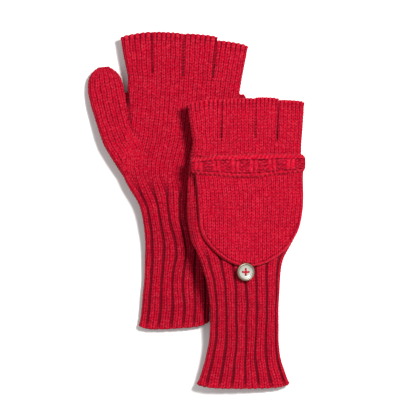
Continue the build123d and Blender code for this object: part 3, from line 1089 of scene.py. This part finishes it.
def new_material(name):
    """An empty material: itself, its tree, its shader, the painted shade value of the piece (on the button,
    its rim share) and the place on the piece.
    """
    material = bpy.data.materials.new(name)
    material.use_nodes = True
    tree = material.node_tree
    tree.nodes.clear()
    shader = tree.nodes.new("ShaderNodeBsdfPrincipled")
    output = tree.nodes.new("ShaderNodeOutputMaterial")
    tree.links.new(shader.outputs[0], output.inputs[0])
    painted_shade_and_rim = add_node(tree, "ShaderNodeAttribute", attribute_name="painted_shade_and_rim").outputs["Fac"]
    coordinates = tree.nodes.new("ShaderNodeTexCoord").outputs["Object"]
    return material, tree, shader, painted_shade_and_rim, coordinates


def wool(name, painted_shade_colour, body, highlight_and_heather_colour, fibre_scale, sheen):
    """Heathered wool yarn with painted shade between the stitches, painted highlight flecks on their crowns
    that are partly heather, and fine fibres.
    """
    material, tree, shader, height, coordinates = new_material(name)
    stitch = add_node(tree, "ShaderNodeUVMap", uv_map="knit").outputs["UV"]
    cloud = noise(tree, coordinates, 90, 3)
    highlight_and_heather_noise = noise(tree, coordinates, 620, 5, 0.8)
    fibre = noise(tree, coordinates, fibre_scale, 4, 0.8)
    bands = add_node(tree, "ShaderNodeTexWave", wave_type="BANDS", bands_direction="DIAGONAL")
    ply = fill(tree, bands, {"Vector": stitch, "Scale": 3.2, "Distortion": 5.0, "Detail": 2.0}).outputs["Fac"]
    # The yarn height with its painted shade moves the colour from the painted shade colour in the hollows to
    # the wool's own colour on the crowns
    step = add_node(tree, "ShaderNodeMapRange", interpolation_type="SMOOTHSTEP")
    crown = fill(tree, step, {"Value": height, "From Min": 0.08, "From Max": 0.80}).outputs[0]
    base = mix_colour(tree, crown, painted_shade_colour, body)
    # Painted highlight flecks on the stitch crowns, partly heather in the yarn
    highlight_and_heather_share = calculate(tree, "MULTIPLY", stretched(tree, highlight_and_heather_noise, 0.48, 4.4), crown)
    base = mix_colour(tree, calculate(tree, "MULTIPLY", highlight_and_heather_share, 0.58), base, highlight_and_heather_colour)
    shade = add_node(tree, "ShaderNodeHueSaturation")
    tone = fill(tree, shade, {"Color": base, "Value": scaled(tree, cloud, 0.30, 0.85)}).outputs[0]
    fuzz = scaled(tree, fibre, 0.7, calculate(tree, "MULTIPLY", ply, 0.5))
    fill(tree, shader, {
        "Base Color": tone,
        "Roughness": scaled(tree, fibre, 0.2, 0.72),
        "Specular IOR Level": 0.04,
        "Sheen Weight": sheen,
        "Sheen Roughness": 0.45,
        "Sheen Tint": (1.0, 0.45, 0.5),
        "Normal": bump(tree, fuzz, 0.55, 0.0003),
    })
    return material


def button_material():
    """A brownish metal-look rim round a pale pearl dish."""
    material, tree, shader, rim_share, coordinates = new_material("button_pearl")
    swirl = noise(tree, coordinates, 260, 3)
    fine = noise(tree, coordinates, 1500, 4, 0.7)
    pearl = mix_colour(tree, stretched(tree, swirl, 0.35, 2.6), (0.33, 0.33, 0.29), (0.23, 0.255, 0.22))
    metal = mix_colour(tree, stretched(tree, fine, 0.3, 2.2), (0.17, 0.125, 0.08), (0.09, 0.066, 0.043))
    fill(tree, shader, {
        "Base Color": mix_colour(tree, rim_share, pearl, metal),
        "Roughness": scaled(tree, fine, 0.22, 0.22),
        "Metallic": calculate(tree, "MULTIPLY", rim_share, 0.35),
        "Coat Weight": 0.35,
        "Coat Roughness": 0.2,
        "Normal": bump(tree, fine, 0.25, 0.0001),
    })
    return material


MATERIALS = {
    "wool": wool("wool_red", painted_shade_colour=(0.085, 0.0, 0.005), body=(0.395, 0.0, 0.014), highlight_and_heather_colour=(0.66, 0.06, 0.095),
                 fibre_scale=2600, sheen=0.08),
    "thread": wool("thread_red", painted_shade_colour=(0.12, 0.001, 0.006), body=(0.56, 0.004, 0.022),
                   highlight_and_heather_colour=(0.85, 0.05, 0.075), fibre_scale=5200, sheen=0.1),
    "button": button_material(),
}


def paint(piece, material):
    piece.data.materials.clear()
    piece.data.materials.append(MATERIALS[material])


def finish_piece(piece, mitten, node, body="hand", material="wool"):
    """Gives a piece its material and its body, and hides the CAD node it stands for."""
    side = mitten["name"]
    paint(piece, material)
    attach(piece, f"{side}_{body}")
    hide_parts(f"{side}_{node}")
    return piece


# ---------------- the scene

def camera():
    """Straight above, from far off, a little to the side of the middle."""
    low, high = CAD_BOX
    middle = (Vector(low) + Vector(high)) / 2
    distance, across = 4.0, 0.3582
    data = bpy.data.cameras.new("camera")
    data.sensor_width = 36
    data.lens = data.sensor_width * distance / across
    data.clip_end = 20
    made = add_object("camera", data)
    made.location = (middle.x + 0.0094, middle.y + 0.0009, distance)
    bpy.context.scene.camera = made


def area_light(name, size, power, location):
    """A square lamp that faces the middle of the floor."""
    data = bpy.data.lights.new(name, "AREA")
    data.size = size
    data.energy = power
    made = add_object(name, data)
    made.location = location
    made.rotation_euler = (-Vector(location)).to_track_quat("-Z", "Y").to_euler()


def lights():
    """A key from the upper right, a broad fill from the lower left and an even white sky."""
    area_light("key", 0.35, 46, (0.62, 0.50, 1.5))
    area_light("fill", 1.6, 6, (-0.9, -0.5, 1.6))
    sky = bpy.data.worlds.new("studio")
    sky.use_nodes = True
    background = sky.node_tree.nodes["Background"]
    background.inputs["Color"].default_value = (1, 1, 1, 1)
    background.inputs["Strength"].default_value = 0.4
    bpy.context.scene.world = sky


def floor():
    """A pale floor just under the lowest piece."""
    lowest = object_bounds()[0][2]
    bpy.ops.mesh.primitive_plane_add(size=6, location=(0, 0, min(lowest, 0) - 0.0002))
    made = bpy.context.object
    made.name = "floor"
    material, tree, shader = new_material("floor_white")[:3]
    fill(tree, shader, {"Base Color": (0.92, 0.915, 0.91), "Roughness": 0.9})
    made.data.materials.append(material)
    made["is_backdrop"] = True


for side in (LEFT, RIGHT):
    row_count = body_tube(side)
    for number in range(len(FINGERS)):
        finger_tube(side, number, row_count)
    thumb_tube(side)
    flap_pouch(side)
    flap_band(side)
    hinge_seam(side)
    button_loop(side)
    thread_shank(side)
    thread_knot(side)
    button(side)
    button_threads(side)

camera()
lights()
floor()
bpy.context.scene.view_settings.view_transform = "Standard"
